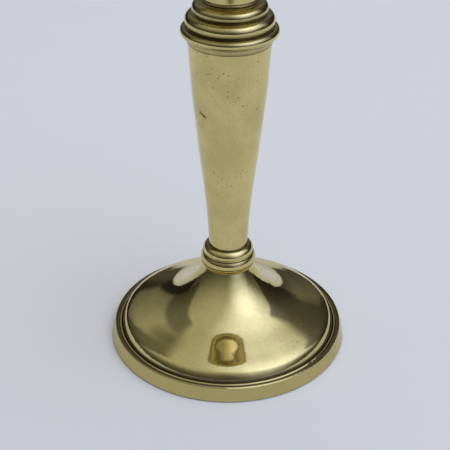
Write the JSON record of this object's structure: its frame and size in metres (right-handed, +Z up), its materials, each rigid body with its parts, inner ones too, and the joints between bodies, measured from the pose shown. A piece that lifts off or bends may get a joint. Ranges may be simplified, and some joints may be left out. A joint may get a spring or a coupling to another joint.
{
  "type": "altar candlestick",
  "caption": "Brass altar candlestick: domed round foot, collar, column that widens upwards, stepped shoulder rings, and a drip pan with a candle socket that lifts out",
  "frame": {"origin": "centre of the underside of the baize pad, on the surface that the candlestick stands on", "axes": "+Z up along the candlestick's axis; it is round, and +Y points to one of the base plate's screws"},
  "size_m": [0.1184, 0.1184, 0.2219],
  "materials": {
    "brass": "polished and aged, with fine scratches, pits and darker tone in the grooves",
    "iron": "rough as cast",
    "steel": "dull zinc",
    "baize": "green felted wool"
  },
  "bodies": {
    "candlestick": {"baize_pad": "baize", "base_plate": "steel", "base_plate_screws": "steel", "foot_ballast": "iron", "foot_shell": "brass", "foot_washer": "steel", "foot_spring_washer": "steel", "foot_nut": "steel", "tie_rod": "steel", "neck_collar": "brass", "column": "brass", "shoulder_ring_lower": "brass", "shoulder_ring_middle": "brass", "shoulder_ring_upper": "brass", "top_tube": "brass", "top_washer": "steel", "top_nut": "steel"},
    "drip_pan": {"candle_socket": "brass", "drip_dish": "brass"}
  },
  "joints": [
    {"name": "drip_pan_lift", "type": "slide", "parent": "candlestick", "child": "drip_pan", "axis": [0, 0, 1], "range_m": [0, 0.02]}
  ]
}
